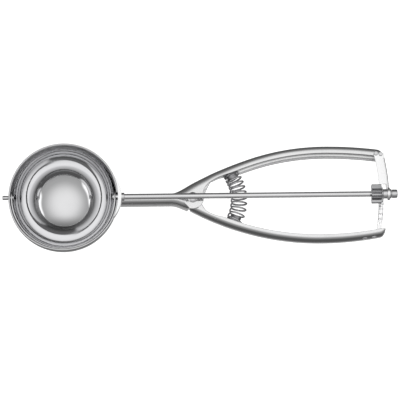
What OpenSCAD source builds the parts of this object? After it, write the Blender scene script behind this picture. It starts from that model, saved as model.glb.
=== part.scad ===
// Lever ice cream scoop: a hemispherical bowl on a stamped squeeze handle.
// Squeezing the two levers moves a curved rack, which turns a pinion on a long rod,
// and the rod sweeps a spherical scraper blade round the inside of the bowl.
// Working frame: X along the rod from the bowl's centre, Z = 0 on the rod's axis.
// The part is then placed with its bounding box centred on X and Y and the bowl's foot on Z = 0.

/* [Bowl] */
// Outer radius of the bowl
bowl_r = 30; // [26:0.5:34]
// Wall thickness of the bowl
bowl_wall = 1; // [0.8:0.1:1.6]
// Height of the rim above the rod's axis
rim_rise = 2; // [1.6:0.1:4]
// Clearance round the rod in the rim's notch
notch_gap = 0.5; // [0.3:0.1:1]

/* [Scraper] */
// Clearance between the blade and the bowl's wall
blade_gap = 0.3; // [0.2:0.05:0.6]
// Thickness of the blade
blade_t = 0.8; // [0.6:0.1:1.2]
// Width of the blade at its middle
blade_w = 9; // [6:0.5:12]
// Radius of the blade's round end lugs
lug_r = 3; // [2.4:0.1:4]
// Radius of the front pin in the bowl's wall
tip_pin_r = 1; // [0.8:0.1:1.2]
// Length of the front pin outside the wall
tip_pin_out = 3; // [2:0.1:4]

/* [Rod] */
// Diameter of the drive rod
rod_d = 3.1; // [2.4:0.1:3.4]
// Length of the turned spigot that holds the blade
spigot_l = 1.2; // [1.1:0.1:1.8]
// Radial running clearance of every shaft in its bore
run_gap = 0.05; // [0.02:0.01:0.09]
// Outer diameter of the front bush
front_bush_d = 4.4; // [4.2:0.1:5]
// Length of the front bush beyond the bowl's wall
front_bush_l = 3.2; // [2.6:0.1:4]

/* [Pivot] */
// Distance from the bowl's centre to the lever pivot
pivot_x = 70.5; // [66:0.5:76]
// Radius of the pivot rivet's shank
rivet_r = 2; // [1.5:0.1:2.4]
// Radius of the rivet's domed head
rivet_head_r = 3.1; // [2.8:0.1:3.8]
// Height of the rivet's domed head
rivet_head_h = 1.2; // [0.8:0.1:1.3]
// Thickness of the washer under the rivet's tail
washer_t = 0.8; // [0.5:0.1:1.2]

/* [Stamped levers] */
// Sheet thickness of both levers
sheet_t = 1.2; // [1:0.1:1.5]
// Depth of each lever's channel
lever_d = 13.8; // [12:0.2:15]
// Drop from the rod's axis to the top of the fixed lever
lever_drop = 3.2; // [3.2:0.1:4]
// Gap between the sheets that turn on each other
sheet_gap = 0.2; // [0.1:0.05:0.4]
// Radius of the fixed lever's upper ear
fixed_ear_r = 6.3; // [5.8:0.1:6.8]
// Radius of the moving lever's upper ear
moving_ear_r = 4.8; // [4.5:0.1:4.9]
// Radius of both lower ears
lower_ear_r = 4; // [3.6:0.1:4.2]
// Half width of the shank behind the bowl
shank_half = 2.5; // [2.5:0.1:3]
// Depth of the shank's channel
shank_d = 11.8; // [10:0.2:13]
// Reach of the fixed lever's grip from the rod's axis
fixed_reach = 28.2; // [26:0.2:30]
// Flange width of the fixed lever
fixed_flange = 4; // [3:0.1:5]
// Reach of the moving lever's grip from the rod's axis
moving_reach = 24.1; // [23:0.1:26]
// Flange width of the moving lever
moving_flange = 3; // [2.8:0.1:4]
// Distance from the bowl's centre to the widest part of the fixed grip
fixed_widest_x = 143; // [138:1:150]
// Distance from the bowl's centre to the widest part of the moving grip
moving_widest_x = 141; // [136:1:148]
// Distance from the bowl's centre to the ends of the levers
lever_end_x = 176.2; // [175.4:0.2:177.4]

/* [Rack and pinion] */
// Number of teeth on the pinion
pinion_teeth = 10; // [10:1:11]
// Gear module
gear_m = 0.883; // [0.86:0.005:0.9]
// Pressure angle of the teeth
pressure_angle = 25; // [25:1:26]
// Play between the teeth, measured along the pitch line
backlash = 0.3; // [0.2:0.05:0.4]
// Distance from the levers' ends back to the pinion's front face
pinion_back = 8.1; // [6.3:0.1:10]
// Width of the pinion
pinion_w = 5.6; // [5:0.1:6.5]
// Thickness of the rack's strip
rack_t = 2.4; // [2:0.1:2.6]
// Width of the teeth that mesh, along the rod
mesh_w = 1; // [0.8:0.1:1.4]
// Height of the rack's strip under the root of its teeth
rack_h = 5.8; // [5:0.1:6.5]
// Length of the rack's tab on the moving lever
rack_tab_l = 12; // [10:0.5:14]

/* [Rear bearing] */
// Outer diameter of the rear bush
rear_bush_d = 5.2; // [4.6:0.1:6]
// Length of the rear bush
rear_bush_l = 4.7; // [4:0.1:5]
// Wall of the bridge's ring round the rear bush
ring_wall = 0.9; // [0.7:0.1:1.3]
// Sheet thickness of the bridge
bridge_t = 1.3; // [1:0.1:1.5]
// Width of the bridge's upper plate
bridge_w = 5.4; // [4.8:0.1:5.8]
// Depth of the bridge's standing edge
bridge_d = 7; // [5:0.5:9]
// Thickness of the thrust washer
thrust_t = 0.4; // [0.3:0.05:0.6]
// Diameter of the knob on the rod's end
knob_d = 4.7; // [4:0.1:6]
// Length of the knob on the rod's end
knob_l = 3.2; // [2.6:0.1:4]

/* [Return spring] */
// Distance from the pivot to the spring's curved axis
spring_r = 25.5; // [25:0.1:26]
// Outer diameter of the spring's curls
spring_d = 9.4; // [8.6:0.1:9.8]
// Diameter of the spring's wire
wire_d = 1.15; // [0.9:0.05:1.3]
// Number of curls
curls = 9; // [7:1:10]
// Angle of the fixed lever's spring seat from the rod, about the pivot
seat_up_deg = 32.5; // [31:0.5:33]
// Angle of the moving lever's spring seat from the rod, about the pivot
seat_low_deg = 27; // [25:0.5:27.5]
// Length of the studs that hold the spring's ends
stud_l = 2.6; // [2:0.1:4]

/* [Motion] */
// Angle that the moving lever closes through
squeeze_deg = 6.9; // [5:0.1:7]

/* [Hidden] */
$fn = 96;
eps = 0.01;
steel = [0.78, 0.78, 0.80];
bright = [0.88, 0.88, 0.90];
wire_grey = [0.62, 0.62, 0.64];

// Spheres of the bowl and the blade
bowl_in = bowl_r - bowl_wall;
blade_out = bowl_in - blade_gap;
blade_in = blade_out - blade_t;
rod_r = rod_d / 2;

// Levels of the stamped sheets
fixed_top = -lever_drop;
fixed_bottom = fixed_top - lever_d;
moving_top = fixed_top - sheet_t - sheet_gap;
moving_bottom = fixed_bottom - sheet_t - sheet_gap;
rivet_hole_r = rivet_r + run_gap;

// Rack and pinion
pitch_r = gear_m * pinion_teeth / 2;
pinion_x = lever_end_x - pinion_back;
pinion_end = pinion_x + pinion_w;
rack_in = pinion_end - mesh_w - pivot_x;
rack_r = rack_in + mesh_w / 2;
tooth_pitch = PI * gear_m;
rack_pitch_deg = tooth_pitch / rack_r * 180 / PI;
gear_ratio = rack_r / pitch_r;
sweep_deg = squeeze_deg * gear_ratio;
blade_rest_deg = (180 - sweep_deg) / 2;
pinion_add = gear_m;
rack_add = 0.8 * gear_m;
tip_gap = 0.25 * gear_m;
rack_tip_z = -pitch_r + rack_add;
rack_root_z = -pitch_r - pinion_add - tip_gap;
rack_foot_z = rack_root_z - rack_h;
rack_lead_deg = 2.75;
rack_teeth_deg = squeeze_deg + 1.6;

// Stations along the rod
thrust_x = pinion_end + 0.1;
rear_bush_x = thrust_x + thrust_t + 0.1;
knob_x = rear_bush_x + rear_bush_l + 0.15;
rod_end = knob_x + knob_l;
ring_r = rear_bush_d / 2 + ring_wall;
edge_out = knob_x - pivot_x - 1;
edge_in = edge_out - bridge_t;
saddle_x = bowl_r * 1.063;
shank_x = bowl_r - 1;
neck_x = pivot_x - 14.5;
flare_x = pivot_x - 12.5;
tip_end = -(bowl_r + blade_gap + tip_pin_out);

// The frame's origin: middle of the bounding box in plan, under the bowl
shift = [-(tip_end + rod_end) / 2, 0, bowl_r];

// ---- Tangent arcs. An arc is [start point, start heading, turn, radius], a positive turn to the left.
function heading(v) = atan2(v[1], v[0]);
function aim(deg) = [cos(deg), sin(deg)];
function arc_to(p, h, q) =
    let (half = heading(q - p) - h) [p, h, 2 * half, norm(q - p) / (2 * sin(abs(half)))];
function side(arc) = arc[2] > 0 ? 1 : -1;
function centre(arc) = arc[0] + side(arc) * arc[3] * aim(arc[1] + 90);
function end_heading(arc) = arc[1] + arc[2];
// The point where two tangent arcs of equal reach meet, from p heading hp to q heading hq
function meeting(p, hp, q, hq) =
    let (v = q - p, tp = aim(hp), tq = aim(hq), t = tp + tq, k = 2 * (1 - tp * tq),
        d = (sqrt((v * t) * (v * t) + k * (v * v)) - v * t) / k)
    (p + q + d * (tp - tq)) / 2;
function two_arcs(p, hp, q, hq) =
    let (m = meeting(p, hp, q, hq), a = arc_to(p, hp, m)) [a, arc_to(m, end_heading(a), q)];
// A point on an arc at a share of its turn, moved inwards, to the right of the heading
function on_arc(arc, share, inward) =
    let (h = arc[1] + share * arc[2], c = centre(arc))
    c - side(arc) * arc[3] * aim(h + 90) - inward * aim(h + 90);
// The points of a path of arcs, moved inwards
arc_steps = 10;
function path_line(path, inward) = concat(
    [for (arc = path, i = [0:arc_steps - 1]) on_arc(arc, i / arc_steps, inward)],
    [on_arc(path[len(path) - 1], 1, inward)]);
function backwards(list) = [for (i = [len(list) - 1:-1:0]) list[i]];
function flipped(list) = [for (p = list) [p[0], -p[1]]];

// The fixed lever's outer edge runs from the shank through the neck to the grip's end
bend_point = [pivot_x - 6.5, fixed_ear_r * 0.757];
bend_heading = 29.7;
fixed_wide = [fixed_widest_x, fixed_reach];
fixed_end_fall = fixed_reach * 0.09;
fixed_end = [lever_end_x, fixed_reach - fixed_end_fall];
neck_arcs = two_arcs([neck_x, shank_half], 0, bend_point, bend_heading);
grip_arcs = two_arcs(bend_point, bend_heading, fixed_wide, 0);
fixed_tail = arc_to(fixed_wide, 0, fixed_end);

// The shank's second wall flares out to the ear, drawn on the other side and mirrored
flare_deg = 24;
flare_end = [pivot_x - 3.3, fixed_ear_r * 0.845];
flare_arcs = two_arcs([flare_x, shank_half], 0, flare_end, flare_deg);

// The moving lever's outer edge, drawn on the fixed lever's side and mirrored
moving_start = [pivot_x - 1.5, moving_ear_r + 0.5];
moving_wide = [moving_widest_x, moving_reach];
moving_end_fall = moving_reach * 0.141;
moving_end = [lever_end_x, moving_reach - moving_end_fall];
moving_tail = arc_to(moving_wide, 0, moving_end);
moving_heading = 29;
moving_arcs = two_arcs(moving_start, moving_heading, moving_wide, 0);
moving_path = concat(moving_arcs, [moving_tail]);

// How far each neck's inner edge bows out beside the pivot
fixed_bow = [2.7, 8.5];
moving_bow = [3.2, 8];

// ---- Shapes that repeat

// A strip in plan between two distances inside a path's edge
module strip(path, from, to) polygon(concat(path_line(path, from), backwards(path_line(path, to))));

// A cylinder along X from x, of length l
module bar(x, r, l) translate([x, 0, 0]) rotate([0, 90, 0]) cylinder(r = r, h = l);

// A tube along X
module sleeve(x, r_out, r_in, l) difference() {
    bar(x, r_out, l);
    bar(x - 1, r_in, l + 2);
}

// A flat sheet from z up, of the sheet's thickness
module sheet(z, t = sheet_t) translate([0, 0, z]) linear_extrude(t) children();

// A stretch of channel along a path: an upright web with a top flange and, on the grips, a lower one
module channel(path, bottom, flange, has_foot = true) {
    sheet(bottom, lever_d - eps) strip(path, 0, sheet_t);
    sheet(bottom + lever_d - sheet_t) strip(path, 0, flange);
    if (has_foot) sheet(bottom) strip(path, 0, flange);
}

// The neck's plate in plan: an ear with a curved inner edge that runs into the grip's flange
module neck_plate(ear_r, arcs, flange, tail_x, bow) {
    rim = [pivot_x + ear_r * cos(12), -ear_r * sin(12)];
    foot = on_arc(arcs[0], tail_x, flange);
    knee = [pivot_x + bow[0], bow[1]];
    curve = [for (t = [0:1/12:1]) (1 - t) * (1 - t) * rim + 2 * t * (1 - t) * knee + t * t * foot];
    back = [for (t = [1:-0.25:0]) on_arc(arcs[0], t * tail_x, flange * 0.8)];
    polygon(concat(curve, back, [[pivot_x, 0]]));
    translate([pivot_x, 0]) circle(ear_r);
}

// The lower ear, tied to the lower flange
module lower_plate(arcs, flange, reach) {
    polygon([[pivot_x + lower_ear_r * 0.8, -lower_ear_r * 0.4], on_arc(arcs[0], reach, flange * 0.9),
        on_arc(arcs[0], reach, flange / 2), on_arc(arcs[0], 0.02, flange / 2),
        [pivot_x - lower_ear_r * 0.8, lower_ear_r * 0.4]]);
    translate([pivot_x, 0]) circle(lower_ear_r);
}

// The hole for the pivot rivet
module pivot_hole() translate([pivot_x, 0, moving_bottom - 5])
    cylinder(r = rivet_hole_r, h = lever_d + 20);

// Children in the spring's frame at an angle: X outwards from the pivot, Y round it, Z up
module at_spring(deg) translate([pivot_x, 0, 0]) rotate([0, 0, deg]) translate([spring_r, 0, spring_z])
    children();

// ---- Bowl

// A solid cup: half a ball under a straight collar
module solid_cup(r, collar) {
    intersection() {
        rotate([0, 90, 0]) sphere(r);
        translate([-r - 1, -r - 1, -r - 1]) cube([2 * r + 2, 2 * r + 2, r + 1]);
    }
    cylinder(r = r, h = collar);
}

module bowl() color(bright) difference() {
    solid_cup(bowl_r, rim_rise);
    solid_cup(bowl_in, rim_rise + 1);
    bar(bowl_in / 2, rod_r + notch_gap, bowl_r);
    translate([bowl_in / 2, -rod_r - notch_gap, 0]) cube([bowl_r, rod_d + 2 * notch_gap, bowl_r]);
    bar(-bowl_r - 1, tip_pin_r + run_gap, bowl_r / 2);
}

// The saddle's dome is a turned shape about the rod's axis
saddle_dome_r = bowl_r * 0.633;
saddle_top = rim_rise * 1.2;
module saddle_dome(grow) translate([saddle_x - saddle_dome_r, 0, 0]) sphere(saddle_dome_r + grow);

// A lens-shaped saddle on the bowl's back, which carries the shank and the front bush
module bowl_saddle() color(steel) difference() {
    rotate([0, 90, 0]) rotate_extrude() difference() {
        intersection() {
            translate([0, saddle_x - saddle_dome_r]) circle(saddle_dome_r);
            square(bowl_r * 2);
        }
        circle(bowl_r);
    }
    bar(0, front_bush_d / 2, bowl_r * 2);
    cylinder(r = bowl_r, h = bowl_r);
    translate([0, -bowl_r, saddle_top]) cube([bowl_r * 2, bowl_r * 2, bowl_r]);
}

module front_bush() color(bright)
    sleeve(bowl_r + 0.05, front_bush_d / 2, rod_r + run_gap, front_bush_l);

// ---- Fixed lever: shank, neck, ears and grip in one stamping

// The lower edge of the stamping steps down from the shank to the grip
module below_shank() rotate([90, 0, 0]) linear_extrude(bowl_r * 2, center = true)
    polygon([[0, fixed_bottom - 1], [0, fixed_top - shank_d], [neck_x + 2, fixed_top - shank_d],
        [pivot_x - lower_ear_r - 1.5, fixed_bottom - 1]]);

module fixed_lever() color(steel) difference() {
    union() {
        // Shank: a top sheet and a wall along each side
        sheet(fixed_top - sheet_t)
            translate([shank_x, -shank_half]) square([neck_x - shank_x + eps, 2 * shank_half]);
        sheet(fixed_top - shank_d, shank_d - eps) {
            translate([shank_x, shank_half - sheet_t]) square([neck_x - shank_x + eps, sheet_t]);
            translate([shank_x, -shank_half]) square([flare_x - shank_x + eps, sheet_t]);
            mirror([0, 1]) strip(flare_arcs, 0, sheet_t);
        }
        // Neck and upper ear, between the wall that bends into the grip and the one that flares out
        sheet(fixed_top - sheet_t) {
            polygon(concat(path_line(neck_arcs, 0), [on_arc(grip_arcs[0], 0.2, 0), [pivot_x, 0]],
                flipped(backwards(path_line(flare_arcs, 0))), [[neck_x, -shank_half]]));
            neck_plate(fixed_ear_r, grip_arcs, fixed_flange, 0.7, fixed_bow);
        }
        channel(neck_arcs, fixed_bottom, sheet_t, false);
        // Grip and lower ear
        channel(concat(grip_arcs, [fixed_tail]), fixed_bottom, fixed_flange);
        sheet(fixed_bottom) lower_plate(grip_arcs, fixed_flange, 0.42);
    }
    saddle_dome(eps);
    sphere(bowl_r + eps);
    below_shank();
    pivot_hole();
    bridge_rivet_places() cylinder(r = small_rivet_r, h = 30, center = true);
}

// ---- Pivot

module pivot_rivet() color(bright) translate([pivot_x, 0, 0]) rotate_extrude() {
    cap_r = (rivet_head_r * rivet_head_r + rivet_head_h * rivet_head_h) / (2 * rivet_head_h);
    intersection() {
        translate([0, fixed_top + rivet_head_h - cap_r]) circle(cap_r);
        translate([0, fixed_top]) square([rivet_head_r + 1, rivet_head_h + 1]);
    }
    translate([0, washer_z - tail_h]) square([rivet_r, fixed_top - washer_z + tail_h]);
    translate([0, washer_z - tail_h]) square([tail_r, tail_h]);
}
washer_z = moving_bottom - washer_t;
tail_h = sheet_t * 0.75;
tail_r = rivet_r * 1.45;

module pivot_washer() color(steel) translate([pivot_x, 0, washer_z]) difference() {
    cylinder(r = lower_ear_r, h = washer_t);
    translate([0, 0, -1]) cylinder(r = rivet_hole_r, h = washer_t + 2);
}

// ---- Moving lever

module moving_lever() color(steel) mirror([0, 1, 0]) difference() {
    union() {
        channel(moving_path, moving_bottom, moving_flange);
        sheet(moving_top - sheet_t) neck_plate(moving_ear_r, moving_arcs, moving_flange, 0.5, moving_bow);
        sheet(moving_bottom) lower_plate(moving_arcs, moving_flange, 0.3);
    }
    pivot_hole();
    rack_rivet_places() rotate([90, 0, 0])
        cylinder(r = small_rivet_r, h = sheet_t * 8, center = true);
}

// ---- Rack and pinion

// The angle at the gear's centre between a tooth's middle and its flank, at radius r
base_r = pitch_r * cos(pressure_angle);
function roll(r) = r <= base_r ? 0 : tan(acos(base_r / r)) * 180 / PI - acos(base_r / r);
tooth_half_deg = 90 / pinion_teeth - backlash / 4 / pitch_r * 180 / PI;
function flank_deg(r) = tooth_half_deg + roll(pitch_r) - roll(r);
pinion_tip = pitch_r + pinion_add;
pinion_root = pitch_r - rack_add - tip_gap;
flank_steps = 6;
flank_radii = [for (i = [0:flank_steps]) max(base_r, pinion_root) +
    (pinion_tip - max(base_r, pinion_root)) * i / flank_steps];

module pinion_section() polygon([for (k = [0:pinion_teeth - 1]) let (a = 360 * k / pinion_teeth) each concat(
    [pinion_root * aim(a - flank_deg(base_r) - 1)],
    [for (r = flank_radii) r * aim(a - flank_deg(r))],
    [for (i = [flank_steps:-1:0]) flank_radii[i] * aim(a + flank_deg(flank_radii[i]))],
    [pinion_root * aim(a + flank_deg(base_r) + 1)])]);

// At rest one tooth points straight down into the rack
module pinion() color(steel) translate([pinion_x, 0, 0]) difference() {
    rotate([90, 0, 90]) rotate([0, 0, -90]) linear_extrude(pinion_w) pinion_section();
    bar(-1, rod_r, pinion_w + 2);
}

// One gap between the rack's teeth, as a prism along the pivot's radius
module rack_gap() {
    half = (tooth_pitch + backlash) / 4;
    slope = tan(pressure_angle);
    top = half + (rack_add + 1) * slope;
    root = half - (pinion_add + tip_gap) * slope;
    translate([rack_in - 1, 0, -pitch_r]) rotate([90, 0, 90]) linear_extrude(rack_t + 2)
        polygon([[-top, rack_add + 1], [-root, -pinion_add - tip_gap],
            [root, -pinion_add - tip_gap], [top, rack_add + 1]]);
}

// Where the rack's strip meets the tab, as a share of the tail, and its clearance from the web
rack_share = 0.84;
rack_clear = sheet_t / 3;
// Play between the tab and the web that its rivets close
tab_gap = 0.03;
rack_end_deg = atan2(-on_arc(moving_tail, rack_share, sheet_t + rack_clear)[1], rack_r);
tab_share = rack_tab_l / (moving_tail[3] * abs(moving_tail[2]) * PI / 180);
tab_to = 0.94;
tab_from = tab_to - tab_share;
tab_arc = [on_arc(moving_tail, tab_from, 0), moving_tail[1] + tab_from * moving_tail[2],
    tab_share * moving_tail[2], moving_tail[3]];
rack_shoulder_z = moving_top - 2 * sheet_t - tab_gap;

module toothed_rack() color(bright) {
    translate([pivot_x, 0, 0]) difference() {
        rotate([0, 0, rack_end_deg]) rotate_extrude(angle = rack_lead_deg - rack_end_deg)
            translate([rack_in, rack_foot_z]) square([rack_t, rack_tip_z - rack_foot_z]);
        for (k = [-ceil(rack_teeth_deg / rack_pitch_deg):1]) rotate([0, 0, k * rack_pitch_deg]) rack_gap();
        // Behind the teeth the strip steps down, to pass under the moving lever's flange
        rotate([0, 0, rack_end_deg - 1]) rotate_extrude(angle = -rack_teeth_deg - rack_end_deg + 1)
            translate([rack_in - 1, rack_shoulder_z]) square([rack_t + 2, rack_tip_z - rack_shoulder_z + 1]);
    }
    mirror([0, 1, 0]) difference() {
        sheet(rack_foot_z, rack_shoulder_z - rack_foot_z) strip([tab_arc], sheet_t + tab_gap, 2 * sheet_t);
        rack_rivet_places() rotate([90, 0, 0])
        cylinder(r = small_rivet_r, h = sheet_t * 8, center = true);
    }
}

small_rivet_r = sheet_t * 0.75;
small_head_r = sheet_t * 1.25;
small_head_h = sheet_t * 0.4;
rivet_shares = [0.2, 0.62];
tab_mid_z = (rack_foot_z + rack_shoulder_z) / 2;

// Children at each rivet of the rack's tab, on the moving lever's outer face, Y outwards
module rack_rivet_places() for (s = rivet_shares)
    translate(concat(on_arc(tab_arc, s, 0), tab_mid_z))
        rotate([0, 0, tab_arc[1] + s * tab_arc[2]]) children();

module rack_rivets() color(bright) mirror([0, 1, 0]) rack_rivet_places() rotate([90, 0, 0]) {
    translate([0, 0, -0.05 - small_head_h]) cylinder(r = small_head_r, h = small_head_h);
    translate([0, 0, -0.06]) cylinder(r = small_rivet_r, h = 2 * sheet_t + 0.12);
    translate([0, 0, 2 * sheet_t + 0.05]) cylinder(r = small_head_r, h = small_head_h);
}

// ---- Rear bridge: from the fixed lever's end over the rack to the rod

bridge_in = edge_out - bridge_w;
bridge_end_deg = asin((fixed_end[1] - fixed_flange / 2) / edge_out);
edge_end_deg = asin((fixed_end[1] - fixed_flange - 0.8) / edge_out);
plate_end_deg = asin((pinion_tip + 0.6) / bridge_in);

// Children at each rivet of the bridge, on the flat of the fixed lever's flange
bridge_rivet_back = [4.4, 1.8];
module bridge_rivet_places() for (back = bridge_rivet_back)
    let (share = 1 - back / (lever_end_x - fixed_widest_x))
    translate(concat(on_arc(fixed_tail, share, fixed_flange * 0.75), fixed_top)) children();

module rear_bridge() color(bright) difference() {
    translate([pivot_x, 0, 0]) {
        rotate([0, 0, plate_end_deg]) rotate_extrude(angle = bridge_end_deg - plate_end_deg)
            translate([bridge_in, fixed_top]) square([bridge_w, bridge_t]);
        rotate_extrude(angle = edge_end_deg)
            translate([edge_in, fixed_top + bridge_t - bridge_d]) square([bridge_t, bridge_d]);
        difference() {
            union() {
                bar(edge_in, ring_r, bridge_t);
                translate([edge_in, 0, fixed_top + bridge_t - bridge_d])
                    cube([bridge_t, ring_r, bridge_d - fixed_top - bridge_t]);
            }
            bar(edge_in - 1, rear_bush_d / 2, bridge_t + 2);
        }
    }
    bar(edge_in + pivot_x - 2, rear_bush_d / 2, bridge_t + 4);
    bridge_rivet_places() cylinder(r = small_rivet_r, h = 30, center = true);
}

module bridge_rivets() color(bright) bridge_rivet_places() {
    translate([0, 0, bridge_t + 0.05]) cylinder(r = small_head_r * 0.85, h = small_head_h);
    translate([0, 0, -sheet_t - 0.06]) cylinder(r = small_rivet_r, h = bridge_t + sheet_t + 0.12);
    translate([0, 0, -sheet_t - 0.05 - small_head_h]) cylinder(r = small_head_r * 0.85, h = small_head_h);
}

module rear_bush() color(steel) sleeve(rear_bush_x, rear_bush_d / 2, rod_r + run_gap, rear_bush_l);

// ---- Return spring and its seats

spring_z = (fixed_top + moving_bottom) / 2;
curl_r = (spring_d - wire_d) / 2;
spring_from = -seat_low_deg;
spring_span = seat_up_deg + seat_low_deg;
lead_deg = wire_d / spring_r * 180 / PI;
curl_rings = 8;
ring_count = curls * curl_rings;
wire_sides = 6;

// A point of the wire's centre line from its angle about the pivot and its angle round the curl
function wire_point(deg, curl_deg) =
    let (r = spring_r + curl_r * cos(curl_deg))
    [pivot_x + r * cos(deg), r * sin(deg), spring_z + curl_r * sin(curl_deg)];
// The coil between its straight ends
function coil_point(i) = wire_point(
    spring_from + lead_deg + (spring_span - 2 * lead_deg) * i / ring_count, 360 * i / curl_rings);
coil = [for (i = [0:ring_count]) coil_point(i)];
wire_line = concat([wire_point(spring_from, 0)], coil, [wire_point(spring_from + spring_span, 0)]);
function unit(v) = v / norm(v);
last = len(wire_line) - 1;
function tangent(i) =
    i == 0 ? concat(aim(spring_from + 90), 0)
    : i == last ? concat(aim(spring_from + spring_span + 90), 0)
    : unit(unit(wire_line[i + 1] - wire_line[i]) + unit(wire_line[i] - wire_line[i - 1]));
// The curl's own axis at ring i, so that each ring's first corner points away from it
function axis_point(i) =
    let (deg = i == 0 ? spring_from : i == last ? spring_from + spring_span
        : spring_from + lead_deg + (spring_span - 2 * lead_deg) * (i - 1) / ring_count)
    [pivot_x + spring_r * cos(deg), spring_r * sin(deg), spring_z];
function ring(i) =
    let (t = tangent(i), out = wire_line[i] - axis_point(i), n = unit(out - (out * t) * t), b = cross(t, n))
    [for (k = [0:wire_sides - 1]) wire_line[i] + wire_d / 2 * (cos(60 * k) * n + sin(60 * k) * b)];
wire_points = [for (i = [0:last]) each ring(i)];
wire_faces = concat(
    [for (i = [0:last - 1], k = [0:wire_sides - 1])
        let (a = i * wire_sides + k, b = i * wire_sides + (k + 1) % wire_sides)
        each [[a, b, a + wire_sides], [b, b + wire_sides, a + wire_sides]]],
    [for (k = [1:wire_sides - 2]) [0, k + 1, k]],
    [for (k = [1:wire_sides - 2]) let (f = last * wire_sides) [f, f + k, f + k + 1]]);

// Least distance between two stretches of the wire more than half a curl apart
wire_self_gap = min([for (i = [0:last], j = [i + curl_rings / 2:1:last]) norm(wire_line[i] - wire_line[j])])
    - wire_d;
echo(least_spring_self_gap = wire_self_gap);

module return_spring() color(wire_grey) polyhedron(wire_points, wire_faces, convexity = 10);

module spring_seat() {
    cylinder(r = spring_d / 2 + 0.2, h = 1.1);
    cylinder(r = curl_r - wire_d / 2 - 0.7, h = 12);
    translate([0, 0, -stud_l]) cylinder(r = curl_r - wire_d / 2 - 0.7, h = stud_l + eps);
}

// The space inside a lever's web
module inside_web(path) sheet(fixed_bottom - 5, lever_d + 10)
    polygon(concat(path_line(path, sheet_t), [[lever_end_x, 0], [pivot_x, 0]]));

module upper_spring_seat() color(steel) intersection() {
    at_spring(seat_up_deg) rotate([-90, 0, 0]) spring_seat();
    inside_web(grip_arcs);
}

module lower_spring_seat() color(steel) intersection() {
    at_spring(-seat_low_deg) rotate([90, 0, 0]) spring_seat();
    mirror([0, 1, 0]) inside_web(moving_arcs);
}

// ---- Scraper blade, rod and what turns with them

module scraper_blade() color(bright) rotate([blade_rest_deg, 0, 0]) difference() {
    intersection() {
        difference() { sphere(blade_out); sphere(blade_in); }
        union() {
            rotate([90, 0, 0]) linear_extrude(bowl_r)
                polygon([[-bowl_r, -lug_r], [-bowl_r / 2, -blade_w / 2], [bowl_r / 2, -blade_w / 2],
                    [bowl_r, -lug_r], [bowl_r, lug_r], [bowl_r / 2, blade_w / 2],
                    [-bowl_r / 2, blade_w / 2], [-bowl_r, lug_r]]);
            bar(bowl_r / 2, lug_r, bowl_r);
            bar(-bowl_r * 1.5, lug_r, bowl_r);
        }
    }
    bar(-bowl_r, tip_pin_r, bowl_r * 2);
}

module drive_rod() color(steel) {
    bar(blade_out + 0.1, rod_r, rod_end - blade_out - 0.1);
    bar(blade_out + 0.2 - spigot_l - 1, tip_pin_r, spigot_l + 1);
    bar(blade_in - 0.8, lug_r * 0.6, 0.6);
}

module tip_pin() color(bright) {
    bar(tip_end, tip_pin_r * 1.2, tip_pin_out);
    bar(-bowl_r - blade_gap - eps, tip_pin_r, bowl_r + blade_gap - blade_in + 0.6);
    bar(0.2 - blade_in, lug_r * 0.6, 0.6);
}

module thrust_washer() color(bright) sleeve(thrust_x, rear_bush_d / 2, rod_r, thrust_t);

module end_knob() color(bright) difference() {
    bar(knob_x, knob_d / 2, knob_l);
    bar(knob_x - 1, rod_r, knob_l + 2);
}

echo(handle_hinge_mm = [pivot_x, 0, 0] + shift);
echo(scraper_hinge_mm = [0, 0, 0] + shift);
echo(gear_ratio = gear_ratio, sweep_deg = sweep_deg);

module placed() translate(shift) children();

placed() bowl();
placed() bowl_saddle();
placed() fixed_lever();
placed() front_bush();
placed() pivot_rivet();
placed() pivot_washer();
placed() rear_bridge();
placed() bridge_rivets();
placed() rear_bush();
placed() upper_spring_seat();
placed() return_spring();
placed() moving_lever();
placed() toothed_rack();
placed() rack_rivets();
placed() lower_spring_seat();
placed() scraper_blade();
placed() drive_rod();
placed() tip_pin();
placed() pinion();
placed() thrust_washer();
placed() end_knob();
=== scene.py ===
"""Lever ice cream scoop: its looks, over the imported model.

Shapes are worked out in millimetres in the part's own frame: X along the rod from the bowl's centre,
Y towards the fixed lever, Z up from the rod's axis. A piece's points are then shifted to the row frame in metres.
"""

import math

import bmesh
import bpy
import numpy as np
from mathutils import Matrix


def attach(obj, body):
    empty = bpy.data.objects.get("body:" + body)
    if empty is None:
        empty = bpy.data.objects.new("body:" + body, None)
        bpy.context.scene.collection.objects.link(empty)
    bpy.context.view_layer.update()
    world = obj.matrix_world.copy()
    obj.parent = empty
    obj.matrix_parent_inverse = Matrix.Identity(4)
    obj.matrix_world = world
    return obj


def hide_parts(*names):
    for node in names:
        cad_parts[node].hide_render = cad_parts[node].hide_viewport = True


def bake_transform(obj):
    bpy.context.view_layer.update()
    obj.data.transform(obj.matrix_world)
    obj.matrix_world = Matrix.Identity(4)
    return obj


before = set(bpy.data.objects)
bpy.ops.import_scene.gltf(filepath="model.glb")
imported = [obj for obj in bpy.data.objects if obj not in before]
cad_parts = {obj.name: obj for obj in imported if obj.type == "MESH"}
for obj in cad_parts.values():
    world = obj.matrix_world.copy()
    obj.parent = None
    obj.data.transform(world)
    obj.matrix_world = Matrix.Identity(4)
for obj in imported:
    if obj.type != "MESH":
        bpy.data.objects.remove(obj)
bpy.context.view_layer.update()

# ---------------------------------------------------------------- sizes, in millimetres, as in the part's source
SHIFT = np.array([-74.525, 0, 30])
BOWL_R, BOWL_IN, RIM_Z, NOTCH = 30.0, 29.0, 2.0, 2.05
SADDLE_DOME_R, SADDLE_TOP = BOWL_R * 0.633, 2.4
SADDLE_DOME_X = BOWL_R * 1.063 - SADDLE_DOME_R
BLADE_OUT, BLADE_IN, BLADE_W, LUG_R, BLADE_REST = 28.7, 27.9, 9.0, 3.0, 9.7475
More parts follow.
